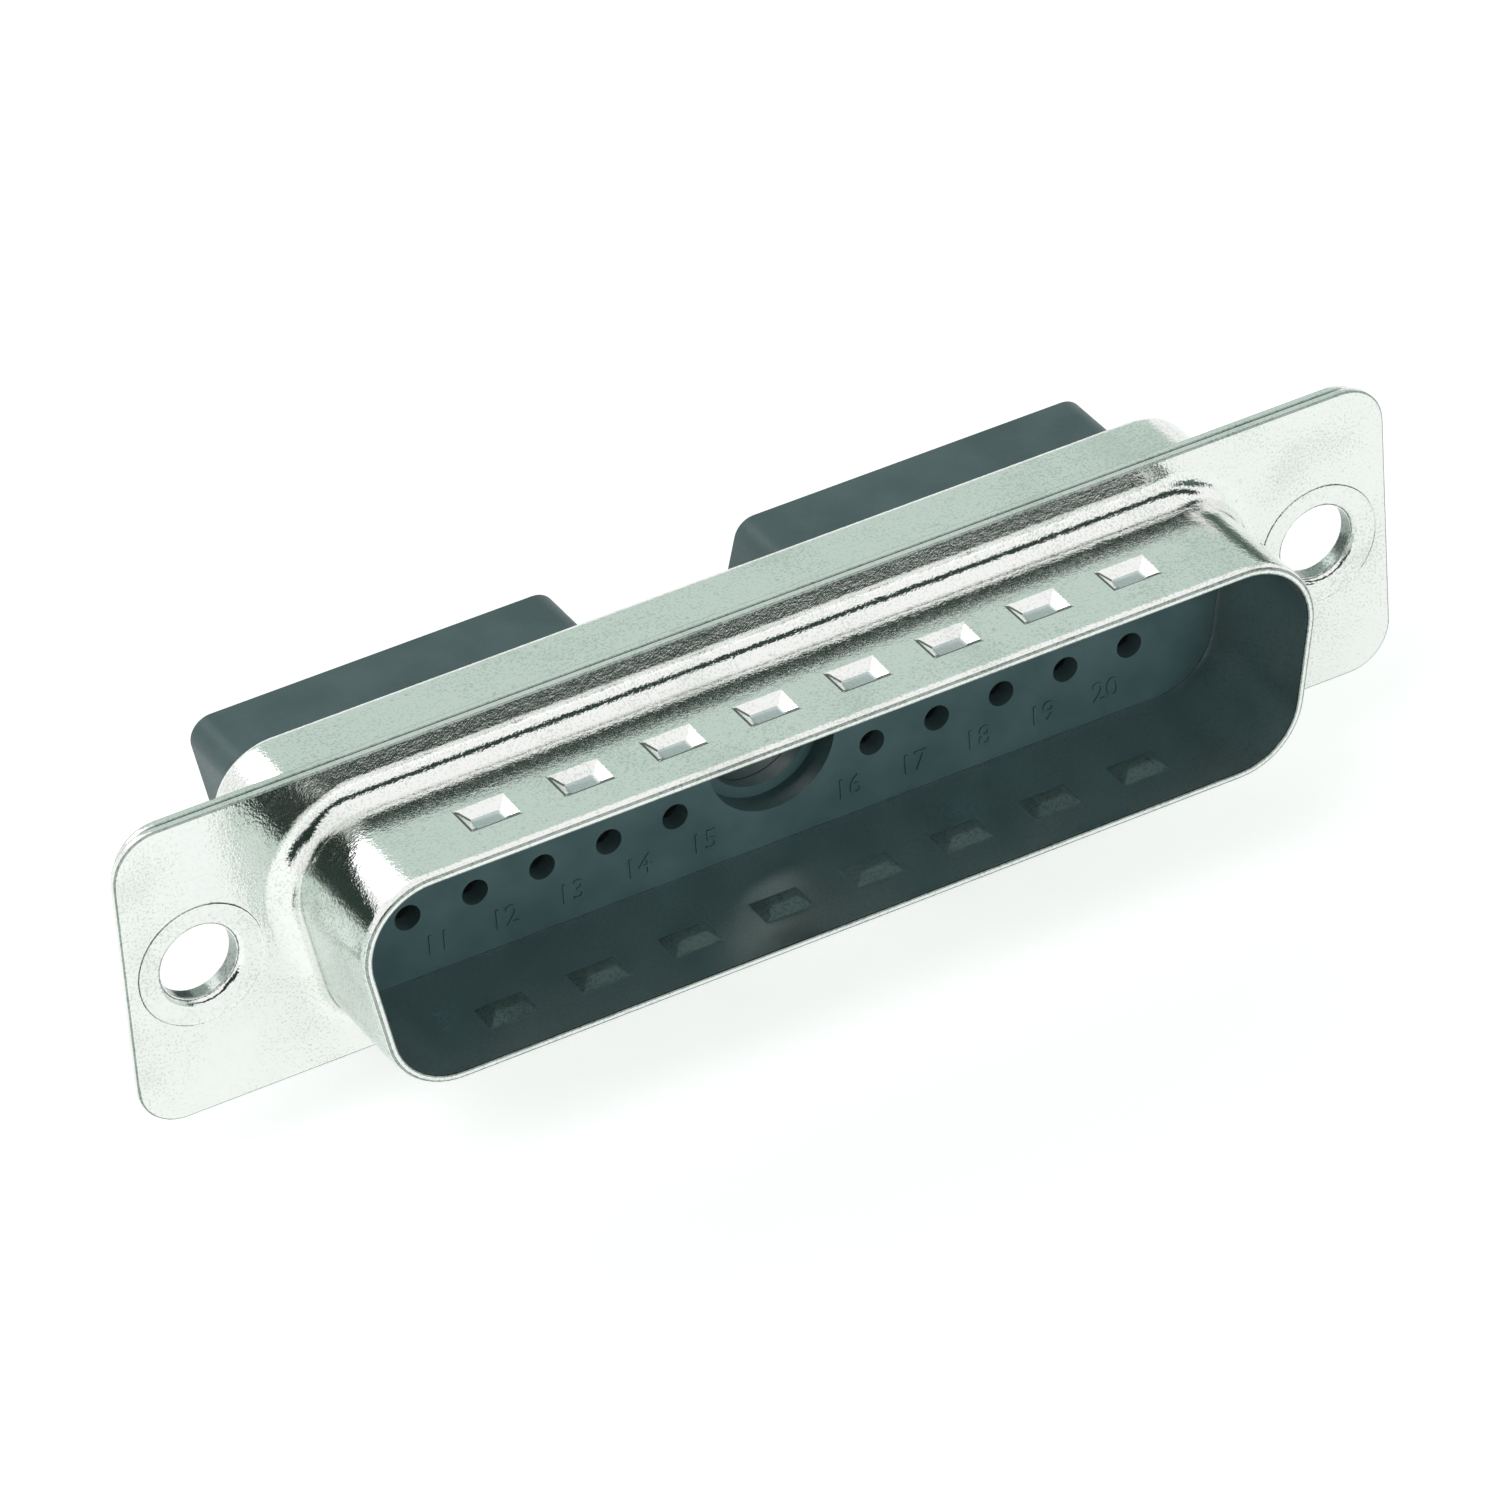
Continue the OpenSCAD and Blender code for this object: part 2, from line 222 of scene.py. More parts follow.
@dataclass(frozen=True)
class TinPlate:
    """Bright tin plate on drawn steel sheet, with orange peel, dull clouds and fine pits."""

    name: str = "tin_plate"
    colour: Colour = (0.90, 0.91, 0.89, 1)
    dull_colour: Colour = (0.71, 0.74, 0.70, 1)
    pit_colour: Colour = (0.50, 0.53, 0.49, 1)
    roughness: Span = (0.03, 0.10)
    peel_height_mm: float = 0.010
    grain_height_mm: float = 0.0080
    peel_mm: float = 0.30
    peel_detail: float = 2.5
    grain_mm: float = 0.10
    grain_detail: float = 2.0
    cloud_mm: float = 3.5
    cloud_detail: float = 3.0
    dull_grain: Span = (0.50, 0.60)
    dull_cloud: Span = (0.40, 0.70)
    cloud_share: Span = (-0.5, 0.5)
    pit_peel: Span = (0.66, 0.76)
    pit_share: Span = (0.0, 0.6)
    rough_cloud: Span = (0.3, 0.7)

    def make(self) -> bpy.types.Material:
        """Builds the material.

        Returns:
            The plated finish.
        """
        sheet = NodeSheet.material(self.name)
        where = sheet.where()
        peel = sheet.noise(where, self.peel_mm, self.peel_detail)
        grain = sheet.noise(where, self.grain_mm, self.grain_detail)
        clouds = sheet.noise(where, self.cloud_mm, self.cloud_detail)
        speckle = sheet.ramp(grain, self.dull_grain, (0.0, 1.0))
        dull = sheet.math("ADD", speckle, sheet.ramp(clouds, self.dull_cloud, self.cloud_share))
        plate = sheet.blend(sheet.ramp(dull, (0.0, 1.0), (0.0, 1.0)), self.colour, self.dull_colour)
        pits = sheet.ramp(peel, self.pit_peel, self.pit_share)
        soft = sheet.bump(peel, self.peel_height_mm)
        inputs = {
            "Base Color": sheet.blend(pits, plate, self.pit_colour),
            "Metallic": 1.0,
            "Roughness": sheet.ramp(clouds, self.rough_cloud, self.roughness),
            "Normal": sheet.bump(grain, self.grain_height_mm, under=soft),
        }
        return sheet.finish(sheet.add("ShaderNodeBsdfPrincipled", inputs))


@dataclass(frozen=True)
class MouldedPlastic:
    """Black glass-filled thermoplastic, moulded with a fine matt skin."""

    name: str = "moulded_plastic"
    colour: Colour = (0.037, 0.077, 0.082, 1)
    worn_colour: Colour = (0.060, 0.108, 0.112, 1)
    roughness: Span = (0.38, 0.52)
    grain_height_mm: float = 0.003
    grain_mm: float = 0.12
    flow_mm: float = 2.5
    detail: float = 3.0
    worn_flow: Span = (0.35, 0.7)
    rough_grain: Span = (0.3, 0.7)

    def make(self) -> bpy.types.Material:
        """Builds the material.

        Returns:
            The moulded finish.
        """
        sheet = NodeSheet.material(self.name)
        where = sheet.where()
        grain = sheet.noise(where, self.grain_mm, self.detail)
        flow = sheet.noise(where, self.flow_mm, self.detail)
        worn = sheet.ramp(flow, self.worn_flow, (0.0, 1.0))
        inputs = {
            "Base Color": sheet.blend(worn, self.colour, self.worn_colour),
            "Roughness": sheet.ramp(grain, self.rough_grain, self.roughness),
            "Normal": sheet.bump(grain, self.grain_height_mm),
        }
        return sheet.finish(sheet.add("ShaderNodeBsdfPrincipled", inputs))


@dataclass(frozen=True)
class ClipStripPaintedShade:
    """Strip of a copper spring alloy with rolling lines, painted dark grey: painted shade for the clips
    deep in the signal cavities.
    """

    name: str = "clip_strip_painted_shade"
    # Dark grey base colour: painted shade of the clips inside the cavities.
    colour: Colour = (0.20, 0.21, 0.21, 1)
    roughness: Span = (0.38, 0.55)
    roll_mm: float = 0.05
    roll_detail: float = 2.0
    roll_stretch: Place = (1, 0.1, 1)
    rough_roll: Span = (0.3, 0.7)

    def make(self) -> bpy.types.Material:
        """Builds the material.

        Returns:
            The strip's finish.
        """
        sheet = NodeSheet.material(self.name)
        stretched = sheet.add("ShaderNodeMapping", {"Vector": sheet.where(), "Scale": self.roll_stretch})
        lines = sheet.noise(stretched.outputs[0], self.roll_mm, self.roll_detail)
        inputs = {
            "Base Color": self.colour,
            "Metallic": 1.0,
            "Roughness": sheet.ramp(lines, self.rough_roll, self.roughness),
        }
        return sheet.finish(sheet.add("ShaderNodeBsdfPrincipled", inputs))


def only(obj: bpy.types.Object) -> None:
    """Makes one object the only selected one and the active one.

    Args:
        obj: The object.
    """
    bpy.ops.object.select_all(action="DESELECT")
    obj.select_set(True)
    bpy.context.view_layer.objects.active = obj


def dress(obj: bpy.types.Object, *finishes: bpy.types.Material) -> None:
    """Gives an object its finishes, of which the first goes all over.

    Args:
        obj: The object.
        finishes: Its materials, in the order of their slots.
    """
    obj.data.materials.clear()
    for finish in finishes:
        obj.data.materials.append(finish)


def within(value: float, span: Span) -> bool:
    """Tells whether a value lies between the two ends of a span."""
    return span[0] < value < span[1]


@dataclass(frozen=True)
class DShell:
    """The D-shaped inside of the shroud, in millimetres."""

    half_width: float = 19.48
    half_height: float = 4.2
    corner_r: float = 2.6
    slope_deg: float = 10.0
    depth: Span = (-5.5, 0.15)
    skin: float = 0.12
    bump_rise: Span = (0.02, 0.4)
    bump_reach: float = 15.0

    def nearest(self, x: float, z: float) -> tuple[float, Vector]:
        """Measures how far a point lies outside the D's outline.

        Args:
            x: The point's X.
            z: The point's Z.

        Returns:
            The distance, negative inside, and the direction from the nearest point of the core, the
            outline through the corners' centres.
        """
        wide = self.half_width - self.corner_r
        high = self.half_height - self.corner_r
        narrow = wide - 2 * high * math.tan(math.radians(self.slope_deg))
        ring = [Vector(c) for c in ((-wide, high), (wide, high), (narrow, -high), (-narrow, -high))]
        point = Vector((x, z))
        best = None
        for start, end in zip(ring, ring[1:] + ring[:1]):
            along = (point - start).dot(end - start) / (end - start).length_squared
            away = point - start.lerp(end, max(0.0, min(1.0, along)))
            if best is None or away.length < best.length:
                best = away
        return best.length - self.corner_r, best.normalized()

    def holds(self, point: Vector) -> bool:
        """Tells whether a point lies in the shroud's inside or on its inner wall.

        Args:
            point: The point in metres.

        Returns:
            True for a point inside.
        """
        x, y, z = (v / MM for v in point)
        return within(y, self.depth) and self.nearest(x, z)[0] < self.skin

    def stands_proud(self, point: Vector) -> bool:
        """Tells whether a point of the inner wall lies on a pressed bump.

        Args:
            point: The point in metres.

        Returns:
            True for a point above the flat wall.
        """
        rise = self.half_height - abs(point.z / MM)
        return within(rise, self.bump_rise) and abs(point.x / MM) < self.bump_reach


@dataclass
class SmoothedPart:
    """A part whose surface is welded and smooth, so that it reflects without facets."""

    node: str
    slot: str
    finishes: tuple[bpy.types.Material, ...]
    edge_mm: float = 0.0
    edge_deg: float = 34.0
    edge_steps: int = 2
    smooth_deg: float = 28.0
    flat_deg: float = 0.2
    weld_mm: float = 0.0005
    flat_weight: int = 80

    def weld(self, piece: bpy.types.Object) -> None:
        """Merges the loose triangles of a copied solid into one skin.

        Args:
            piece: The copy.
        """
        only(piece)
        bpy.ops.object.mode_set(mode="EDIT")
        bpy.ops.mesh.select_all(action="SELECT")
        bpy.ops.mesh.remove_doubles(threshold=self.weld_mm * MM)
        bpy.ops.mesh.customdata_custom_splitnormals_clear()
        if self.edge_mm:
            bpy.ops.mesh.dissolve_limited(angle_limit=math.radians(self.flat_deg))
        bpy.ops.object.mode_set(mode="OBJECT")

    def breaks(self, middle: Vector) -> bool:
        """Tells whether the sharp edge with this middle, in millimetres, is broken."""
        return True

    def round_edges(self, piece: bpy.types.Object) -> None:
        """Breaks the sharp edges, as tumbling and plating do, and gives the bevels the darker edge material
        with its painted shade.

        Args:
            piece: The welded skin.
        """
        shape = bmesh.new()
        shape.from_mesh(piece.data)
        weight = shape.edges.layers.float.new("bevel_weight_edge")
        for line in shape.edges:
            middle = (line.verts[0].co + line.verts[1].co) / 2 / MM
            if line.calc_face_angle(0.0) > math.radians(self.edge_deg) and self.breaks(middle):
                line[weight] = 1.0
        shape.to_mesh(piece.data)
        shape.free()
        bevel = piece.modifiers.new("broken_edges", "BEVEL")
        bevel.limit_method = "WEIGHT"
        bevel.width = self.edge_mm * MM
        bevel.segments = self.edge_steps
        bevel.use_clamp_overlap = False
        # The bevel faces take the darker edge material: painted shade along the edges, partly the duller
        # cut edge.
        bevel.material = Coat.EDGE
        only(piece)
        bpy.ops.object.modifier_apply(modifier=bevel.name)

    def paint_inner_walls(self, piece: bpy.types.Object) -> None:
        """Paints the inner walls of the parts that need it: shade inside the shroud, light inside the
        signal cavities. A plain part does nothing here.
        """

    def build(self) -> bpy.types.Object:
        """Builds the welded part and puts it in place of its plain solid.

        Returns:
            The new piece.
        """
        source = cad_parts[self.node]
        piece = source.copy()
        piece.data = source.data.copy()
        piece.name = self.node + "_skin"
        for key in list(piece.keys()):
            del piece[key]
        piece.parent = None
        bpy.context.scene.collection.objects.link(piece)
        self.weld(piece)
        dress(piece, *self.finishes)
        if self.edge_mm:
            self.round_edges(piece)
        only(piece)
        bpy.ops.object.shade_smooth_by_angle(angle=math.radians(self.smooth_deg))
        even = piece.modifiers.new("even", "WEIGHTED_NORMAL")
        even.keep_sharp = True
        even.weight = self.flat_weight
        bpy.ops.object.modifier_apply(modifier=even.name)
        self.paint_inner_walls(piece)
        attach(piece, "root")
        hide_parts(self.node)
        return piece


@dataclass
class ShroudPart(SmoothedPart):
    """The front shell, with its drawn root ironed flat inside the shroud. Lengths are in millimetres.

    The root's bend is given by its centre: how far outside the D's outline, and in Y. Ironing moves the
    corners that lie on the bend in to the outline, and presses the last row, behind seat_y, a little
    further. The kept sizes bound the root, where no edge is broken. A turn is the part of a face's normal
    past which the face counts as looking that way.
    """

    inside: DShell = DShell()
    bend_centre: tuple[float, float] = (1.35, -1.0)
    bend_r: float = 1.35
    bend_slack: float = 0.02
    root_reach: Span = (0.0005, 0.8)
    ironed_to: float = 0.2
    seat_y: float = 0.1
    seat_press: float = 0.035
    kept_front: float = 0.05
    kept_back: float = 1.0
    kept_round: float = 0.1
    hole_x: float = 23.52
    ring_r: Span = (2.2, 2.75)
    ring_back: float = 0.1
    pressed_y: Span = (-5.2, -1.6)
    drawn_y: Span = (-5.7, -0.9)
    wall_turn: float = 0.9
    press_turn: float = 0.12
    side_turn: float = 0.8
    hole_turn: float = 0.3

    def iron_root(self, piece: bpy.types.Object) -> None:
        """Brings the inner side of the root in line with the shroud's inner wall.

        Args:
            piece: The welded skin.
        """
        for corner in piece.data.vertices:
            x, y, z = corner.co / MM
            if not within(y, (self.bend_centre[1], self.ironed_to)):
                continue
            out, direction = self.inside.nearest(x, z)
            reach = math.hypot(out - self.bend_centre[0], y - self.bend_centre[1])
            if within(out, self.root_reach) and abs(reach - self.bend_r) < self.bend_slack:
                inwards = (out + (self.seat_press if y > self.seat_y else 0.0)) * MM
                corner.co.x -= direction.x * inwards
                corner.co.z -= direction.y * inwards

    def weld(self, piece: bpy.types.Object) -> None:
        """Welds the copied solid and irons its root."""
        super().weld(piece)
        self.iron_root(piece)

    def breaks(self, middle: Vector) -> bool:
        """Tells whether the sharp edge with this middle, in millimetres, is away from the drawn root."""
        beside = within(middle.y, (self.bend_centre[1] - self.kept_front, self.kept_back))
        return not (beside and self.inside.nearest(middle.x, middle.z)[0] < self.bend_r + self.kept_round)

    def coat_of(self, face: bpy.types.MeshPolygon) -> int:
        """Chooses the material of a face outside the shroud's inner wall: the plain plate, or a copy with
        painted shade or painted reflection.

        Args:
            face: The face, with the finish that breaking the edges left on it.

        Returns:
            The number of its finish.
        """
        x, y, z = face.center / MM
        turn = face.normal
        from_hole = math.hypot(abs(x) - self.hole_x, z)
        # The walls of the flange holes take the darker edge material: partly the duller cut edge, partly
        # painted shade inside the holes.
        if abs(turn.y) < self.hole_turn and from_hole < self.ring_r[0]:
            return Coat.EDGE
        coat = face.material_index
        if coat == Coat.EDGE and y < self.ring_back and within(from_hole, self.ring_r):
            coat = Coat.PLATE
        # Broken edges among the dimples that turn to the right or to the back take the crease material,
        # painted shade; the rest become plain plate.
        if coat == Coat.EDGE and within(y, self.pressed_y):
            coat = Coat.PRESS if max(turn.x, turn.y) > self.press_turn else Coat.PLATE
        # Plain faces of the shroud's side walls take the side copy: painted reflection.
        if coat == Coat.PLATE and within(y, self.drawn_y) and abs(turn.x) > self.side_turn:
            coat = Coat.SIDE
        return coat

    def round_edges(self, piece: bpy.types.Object) -> None:
        """Breaks the sharp edges and sorts out which faces take the darker edge copy, the crease copy with
        its painted shade, the side copy with its painted reflection, or the plain plate.

        Args:
            piece: The welded skin.
        """
        super().round_edges(piece)
        for face in piece.data.polygons:
            face.material_index = self.coat_of(face)

    def paint_inner_walls(self, piece: bpy.types.Object) -> None:
        """Paints shade on the shroud's inner wall, and darker painted shade on the bumps on it, with a
        painted reflection of the plastic on both.

        Args:
            piece: The smooth skin.
        """
        for face in piece.data.polygons:
            if abs(face.normal.y) < self.wall_turn and self.inside.holds(face.center):
                # Inner wall and bumps take their darker copies: painted shade and painted reflection.
                face.material_index = Coat.BUMP if self.inside.stands_proud(face.center) else Coat.INSIDE


@dataclass
class FacePart(SmoothedPart):
    """The front insulator, whose signal cavity walls take its second, paler material: painted light inside
    the cavities.
    """

    painted_light_slot: int = 1
    depth: Span = (0.2, 4.0)
    coax_side: float = 3.5
    wall_turn: float = 0.5

    def paint_inner_walls(self, piece: bpy.types.Object) -> None:
        """Paints light on the walls of the signal cavities with the second, paler material.

        Args:
            piece: The smooth skin.
        """
        for face in piece.data.polygons:
            signal = within(face.center.y / MM, self.depth) and abs(face.center.x / MM) > self.coax_side
            if signal and abs(face.normal.y) < self.wall_turn:
                face.material_index = self.painted_light_slot


@dataclass
class CavityNumbers:
    """Raised numbers beside the signal cavities on the mating face."""

    finish: bpy.types.Material
    face_y: float = 0.16
    height: float = 0.9
    size_of_height: float = 1.35
    raise_by: float = 0.05
    curve_steps: int = 4
    pitch: float = 2.77
    towards_centre: float = 1.1
    row_z: float = 3.0
    each_side: int = 5

    def place(self, row: Row, index: int) -> Vector:
        """Finds a number's centre.

        Args:
            row: The row of cavities.
            index: The cavity's place in it, from the left.

        Returns:
            The centre in millimetres.
        """
        side = -1 if index < self.each_side else 1
        step = self.each_side - 1 - index if side < 0 else index - self.each_side
        x = side * ((row.first_pitch + step) * self.pitch - self.towards_centre)
        return Vector((x, self.face_y, row.side * self.row_z))

    def number(self, row: Row, index: int) -> bpy.types.Object:
        """Builds one number.

        Args:
            row: The row of cavities.
            index: The cavity's place in it, from the left.

        Returns:
            The raised number as a mesh.
        """
        bpy.ops.object.select_all(action="DESELECT")
        bpy.ops.object.text_add(location=(0, 0, 0))
        text = bpy.context.object
        text.data.body = str(row.first_number + index)
        text.data.align_x = "CENTER"
        text.data.align_y = "CENTER"
        text.data.size = self.height * self.size_of_height * MM
        text.data.extrude = self.raise_by * MM
        text.data.resolution_u = self.curve_steps
        only(text)
        bpy.ops.object.convert(target="MESH")
        text = bpy.context.object
        upright = Matrix.Rotation(math.radians(90), 4, "X")
        text.data.transform(Matrix.Translation(self.place(row, index) * MM) @ upright)
        return text

    def build(self) -> bpy.types.Object:
        """Builds all the numbers as one piece.

        Returns:
            The raised numbers.
        """
        made = [self.number(row, index) for row in Row for index in range(2 * self.each_side)]
        only(made[0])
        for text in made:
            text.select_set(True)
        bpy.ops.object.join()
        piece = bpy.context.object
        piece.name = "cavity_numbers"
        dress(piece, self.finish)
        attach(piece, "root")
        return piece


@dataclass
class Panel:
    """One light panel or flag of the studio, turned towards the connector."""

    name: str
    kind: Lamp
    towards: Place
    distance: float
    size: tuple[float, float]
    level: float
    tint: Colour = WHITE

    def build(self) -> None:
        """Builds the panel as a stage piece, which the camera doesn't see."""
        out = Vector(self.towards).normalized()
        bpy.ops.object.select_all(action="DESELECT")
        bpy.ops.mesh.primitive_plane_add(size=1, location=out * self.distance)
        panel = bpy.context.object
        panel.name = self.name
        panel.scale = (*self.size, 1)
        panel.rotation_euler = out.to_track_quat("Z", "Y").to_euler()
        sheet = NodeSheet.material(self.name)
        glow = sheet.add("ShaderNodeEmission", {"Color": self.tint, "Strength": self.level})
        dress(panel, sheet.finish(glow))
        panel.visible_camera = False
        panel.visible_shadow = False
        panel.visible_diffuse = self.kind is Lamp.SOFTBOX
        panel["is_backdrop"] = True


@dataclass
class SoftLamp:
    """A soft square lamp that faces the connector and isn't mirrored in it."""

    name: str
    place: Place
    size: float
    power: float

    def build(self) -> None:
        """Builds the lamp."""
        data = bpy.data.lights.new(self.name, "AREA")
        data.shape = "SQUARE"
        data.size = self.size
        data.energy = self.power
        lamp = bpy.data.objects.new(self.name, data)
        lamp.location = self.place
        lamp.rotation_euler = Vector(self.place).to_track_quat("Z", "Y").to_euler()
        lamp.visible_glossy = False
        bpy.context.scene.collection.objects.link(lamp)


@dataclass
class Studio:
    """Floor, world, lamps and camera. Lengths are in metres, but for the lens."""

    azimuth: float = -27.093
    elevation: float = 34.67
    roll: float = -4.373
    distance: float = 0.365612
    target: Place = (-0.000969, 0.0, 0.000374)
    lens: float = 240.5645
    sensor: float = 36.0
    clip: Span = (0.01, 20.0)
    air_colour: Colour = (0.93, 1.0, 0.97, 1)
    air_level: float = 0.55
    floor_size: float = 3.0
    floor_gap: float = 0.004
    floor_colour: Colour = (0.86, 0.87, 0.86, 1)
    floor_lift: float = 0.42
    mirror_x: Span = (-0.018, 0.012)
    mirror_share: Span = (0.90, 0.75)
    lamps: tuple[SoftLamp, ...] = ()
    panels: tuple[Panel, ...] = ()

    def camera(self) -> None:
        """Builds the camera and makes it the scene's own."""
        a, e, r = (math.radians(v) for v in (self.azimuth, self.elevation, self.roll))
        back = Vector((math.sin(a) * math.cos(e), -math.cos(a) * math.cos(e), math.sin(e)))
        right = (-back).cross(Vector((0, 0, 1))).normalized()
        up = right.cross(-back)
        turned_right = math.cos(r) * right + math.sin(r) * up
        turned_up = -math.sin(r) * right + math.cos(r) * up
        turn = Matrix((turned_right, turned_up, back)).transposed().to_4x4()
        data = bpy.data.cameras.new("camera")
        data.sensor_width = self.sensor
        data.sensor_fit = "HORIZONTAL"
        data.lens = self.lens
        data.clip_start, data.clip_end = self.clip
        camera = bpy.data.objects.new("camera", data)
        camera.matrix_world = Matrix.Translation(Vector(self.target) + back * self.distance) @ turn
        bpy.context.scene.collection.objects.link(camera)
        bpy.context.scene.camera = camera

    @staticmethod
    def straight(rays: bpy.types.Node, sheet: NodeSheet) -> bpy.types.NodeSocket:
        """Adds a socket that is 1 for rays straight from the camera, or through something clear."""
        return sheet.math("MAXIMUM", rays.outputs["Is Camera Ray"], rays.outputs["Is Transmission Ray"])

    def world(self) -> None:
        """Gives the world a soft tinted light, and white where the camera or a reflection looks."""
        world = bpy.data.worlds.new("studio")
        bpy.context.scene.world = world
        sheet = NodeSheet(world)
        rays = sheet.add("ShaderNodeLightPath")
        shown = sheet.math("MAXIMUM", self.straight(rays, sheet), rays.outputs["Is Glossy Ray"])
        soft = sheet.add("ShaderNodeBackground", {"Color": self.air_colour, "Strength": self.air_level})
        seen = sheet.add("ShaderNodeBackground", {"Color": WHITE, "Strength": 1.0})
        sheet.finish(sheet.add("ShaderNodeMixShader", {0: shown, 1: soft.outputs[0], 2: seen.outputs[0]}))

    def floor(self) -> None:
        """Builds a pale floor a little under the connector."""
        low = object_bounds()[0].z
        bpy.ops.object.select_all(action="DESELECT")
        bpy.ops.mesh.primitive_plane_add(size=self.floor_size, location=(0, 0, low - self.floor_gap))
        floor = bpy.context.object
        floor.name = "floor"
        sheet = NodeSheet.material("pale_floor")
        rays = sheet.add("ShaderNodeLightPath")
        across = sheet.add("ShaderNodeSeparateXYZ", {"Vector": sheet.where()}).outputs["X"]
        share = sheet.ramp(across, self.mirror_x, self.mirror_share)
        mirrored = sheet.math("MULTIPLY", rays.outputs["Is Glossy Ray"], share)
        shown = sheet.math("MAXIMUM", self.straight(rays, sheet), mirrored)
        strength = sheet.math("MULTIPLY", shown, self.floor_lift)
        matt = sheet.add("ShaderNodeBsdfDiffuse", {"Color": self.floor_colour})
        lift = sheet.add("ShaderNodeEmission", {"Color": WHITE, "Strength": strength})
        mix = sheet.add("ShaderNodeAddShader", {0: matt.outputs[0], 1: lift.outputs[0]})
        dress(floor, sheet.finish(mix))
        floor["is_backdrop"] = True

    def build(self) -> None:
        """Builds the whole studio."""
        bpy.context.scene.view_settings.view_transform = "Standard"
        self.camera()
        self.world()
        self.floor()
        for light in self.lamps + self.panels:
            light.build()


def shell_finishes() -> tuple[bpy.types.Material, ...]:
    """Makes the materials of the shells: the tin plate and its darker and tinted copies that carry painted
    shade and painted reflection.

    Returns:
        The materials, in the order of Coat.
    """
    plates = {
        Coat.PLATE: TinPlate(),
        # Darker copy for the broken edges and hole walls: partly the duller colour of cut edges, partly
        # painted shade standing in for the dark lines the edges reflect.
        Coat.EDGE: TinPlate(
            "trimmed_edge_painted_shade",
            colour=(0.36, 0.40, 0.38, 1),
            dull_colour=(0.20, 0.24, 0.22, 1),
            pit_colour=(0.20, 0.23, 0.21, 1),
            roughness=(0.14, 0.30),
        ),
        # Darker, teal-tinted copy for the shroud's inner wall: painted shade and a painted reflection of
        # the plastic; its higher roughness is the wall's own.
        Coat.INSIDE: TinPlate(
            "inside_wall_painted_shade",
            colour=(0.54, 0.60, 0.60, 1),
            dull_colour=(0.46, 0.52, 0.52, 1),
            pit_colour=(0.42, 0.46, 0.46, 1),
            roughness=(0.26, 0.46),
            peel_height_mm=0.003,
            grain_height_mm=0.002,
        ),
        # Dark teal copy for the bumps on the inner wall: painted shade and a painted reflection of the
        # plastic, in place of the bright reflections the bumps catch; the high roughness is their own.
        Coat.BUMP: TinPlate(
            "bump_painted_shade",
            colour=(0.21, 0.30, 0.29, 1),
            dull_colour=(0.13, 0.20, 0.19, 1),
            pit_colour=(0.32, 0.37, 0.33, 1),
            roughness=(0.70, 0.85),
        ),
        # Near-black copy for the edges of the dimples on the shroud: painted shade in the creases.
        Coat.PRESS: TinPlate(
            "crease_painted_shade",
            colour=(0.16, 0.18, 0.17, 1),
            dull_colour=(0.10, 0.12, 0.11, 1),
            pit_colour=(0.10, 0.11, 0.10, 1),
            roughness=(0.20, 0.35),
        ),
        # Greener, darker copy for the shroud's side walls: a painted reflection of darker surroundings.
        Coat.SIDE: TinPlate(
            "side_wall_painted_reflection",
            colour=(0.66, 0.73, 0.69, 1),
            dull_colour=(0.44, 0.51, 0.47, 1),
            pit_colour=(0.34, 0.39, 0.36, 1),
            roughness=(0.08, 0.20),
        ),
    }
    return tuple(plates[coat].make() for coat in Coat)


def studio_lamps() -> tuple[SoftLamp, ...]:
    """Lists the lamps that light the plastic and the floor.

    Returns:
        The lamps.
    """
    return (
        SoftLamp("key", (-0.35, -0.25, 0.55), 0.30, 1.0),
        SoftLamp("fill", (0.10, -0.58, 0.07), 0.26, 1.6),
    )


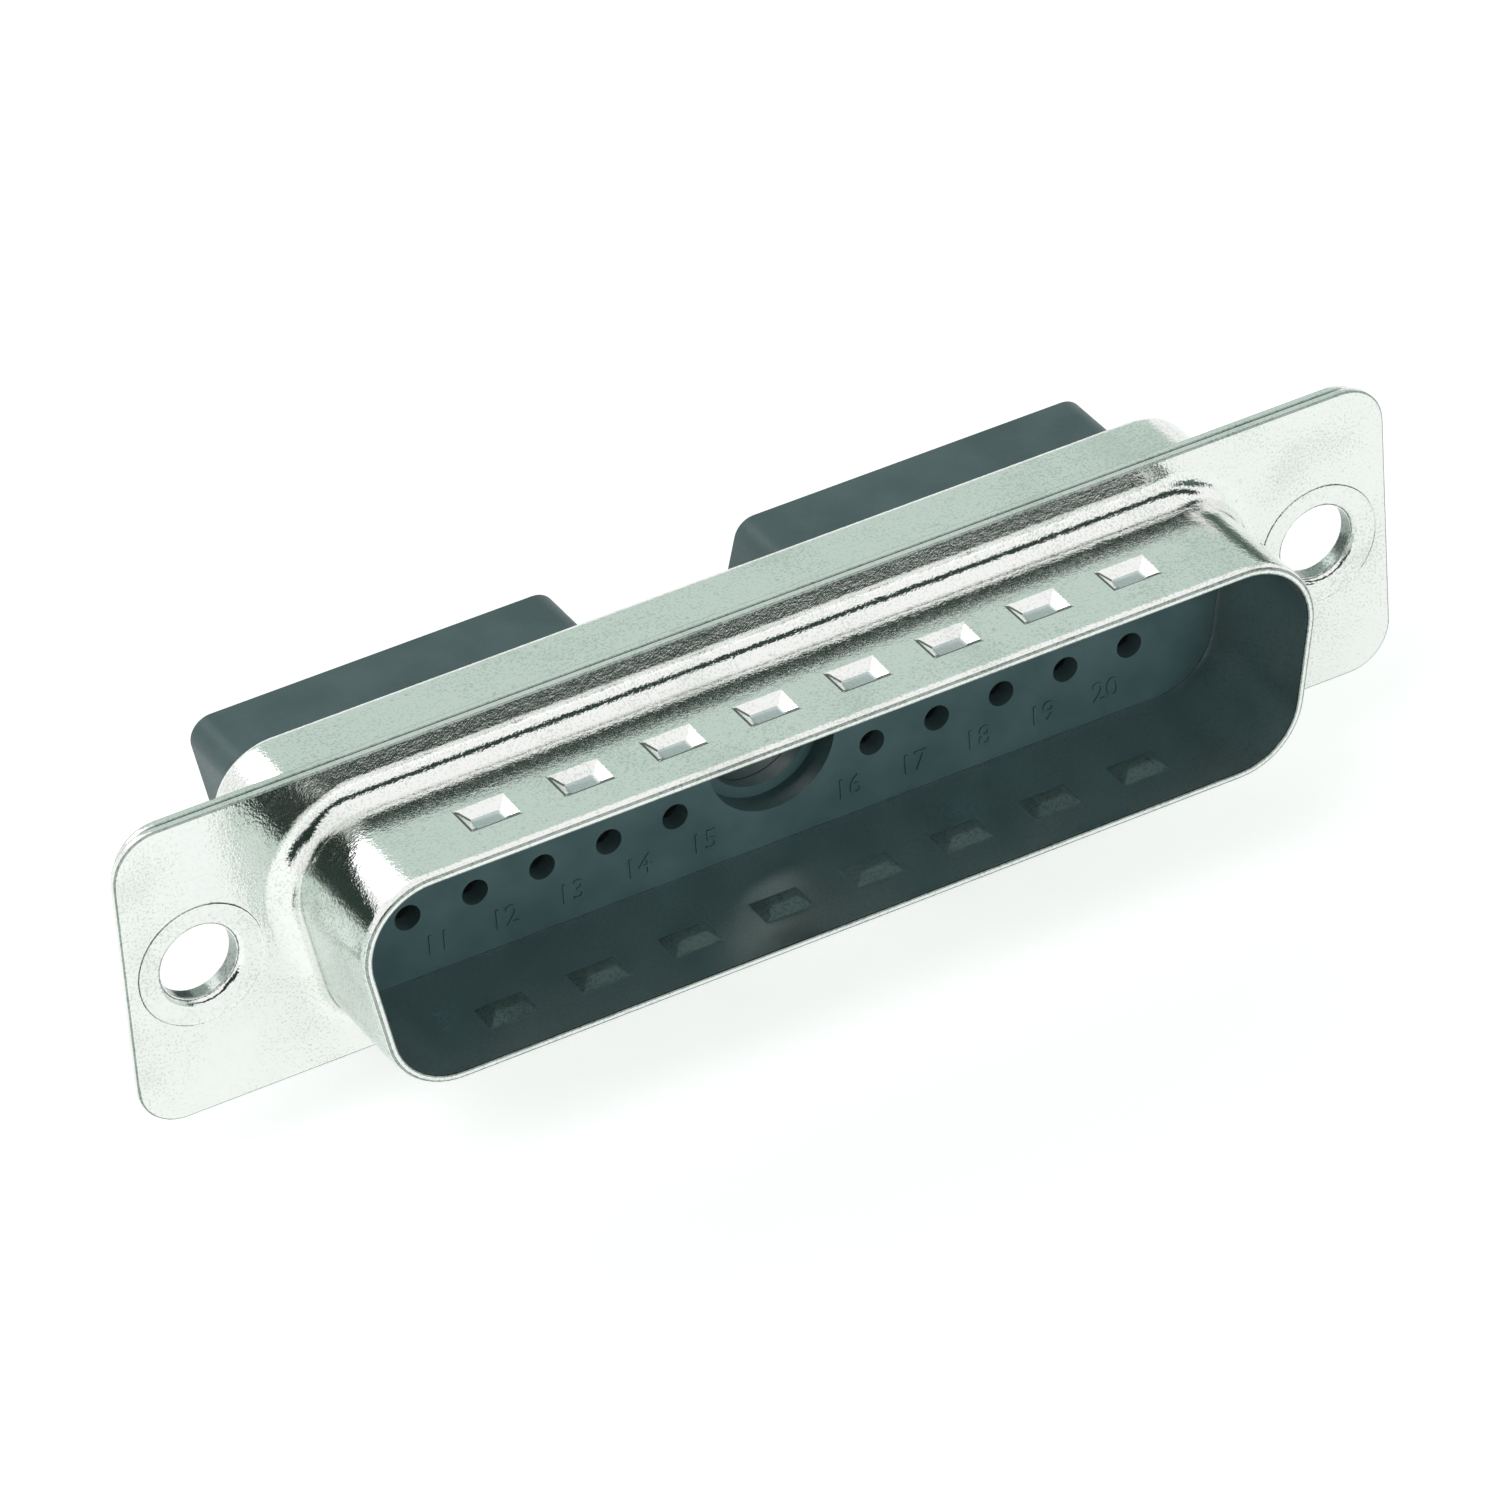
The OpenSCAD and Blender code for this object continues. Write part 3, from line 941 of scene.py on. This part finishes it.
def studio_panels() -> tuple[Panel, ...]:
    """Lists the panels that shape the metal's reflections.

    Returns:
        The panels.
    """
    green = (0.84, 1.0, 0.93, 1)
    dark = (0.66, 1.0, 0.88, 1)
    return (
        Panel("front_flag", Lamp.FLAG, (0.37, -0.73, 0.64), 0.60, (1.1, 0.19), 0.06, dark),
        Panel("front_flag_corner", Lamp.FLAG, (-0.50, -0.73, 0.60), 0.63, (0.6, 0.22), 0.04, dark),
        Panel("front_flag_left", Lamp.FLAG, (-0.66, -0.73, 0.20), 0.66, (0.36, 0.36), 0.05, dark),
        Panel("front_flag_right", Lamp.FLAG, (0.72, -0.73, 0.08), 0.66, (0.26, 0.34), 0.14, dark),
        Panel("back_card", Lamp.FLAG, (0.37, 0.73, 0.52), 0.60, (0.62, 0.34), 0.68, green),
        Panel("back_corner_box", Lamp.SOFTBOX, (-0.25, 0.73, 0.60), 0.61, (0.25, 0.34), 2.2),
    )


def main() -> None:
    """Builds the connector's looks and its studio, and reports each piece."""
    logging.basicConfig(level=logging.INFO, format="%(name)s: %(message)s")
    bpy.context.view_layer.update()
    shell = shell_finishes()
    rim = (shell[Coat.PLATE], shell[Coat.EDGE])
    plastic = MouldedPlastic().make()
    # Paler copy of the plastic for the signal cavity walls: painted light inside the cavities.
    bore = MouldedPlastic(
        "cavity_wall_painted_light", colour=(0.060, 0.100, 0.104, 1), worn_colour=(0.085, 0.130, 0.135, 1)
    ).make()
    strip = ClipStripPaintedShade().make()
    parts = (
        ShroudPart("front_shell", "front_shell_tin", shell, edge_mm=BROKEN_EDGE_MM),
        SmoothedPart("rear_shell", "rear_shell_tin", rim, edge_mm=BROKEN_EDGE_MM),
        FacePart("front_insulator", "front_plastic", (plastic, bore)),
        SmoothedPart("rear_insulator", "rear_plastic", (plastic,)),
        CavityNumbers(plastic),
    )
    for part in parts:
        piece = part.build()
        LOG.info("%s: %d faces", piece.name, len(piece.data.polygons))
    for name in sorted(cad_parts):
        if name.startswith("retention_clip"):
            dress(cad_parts[name], strip)
            LOG.info("%s: dressed", name)
    Studio(lamps=studio_lamps(), panels=studio_panels()).build()


if __name__ == "__main__":
    main()
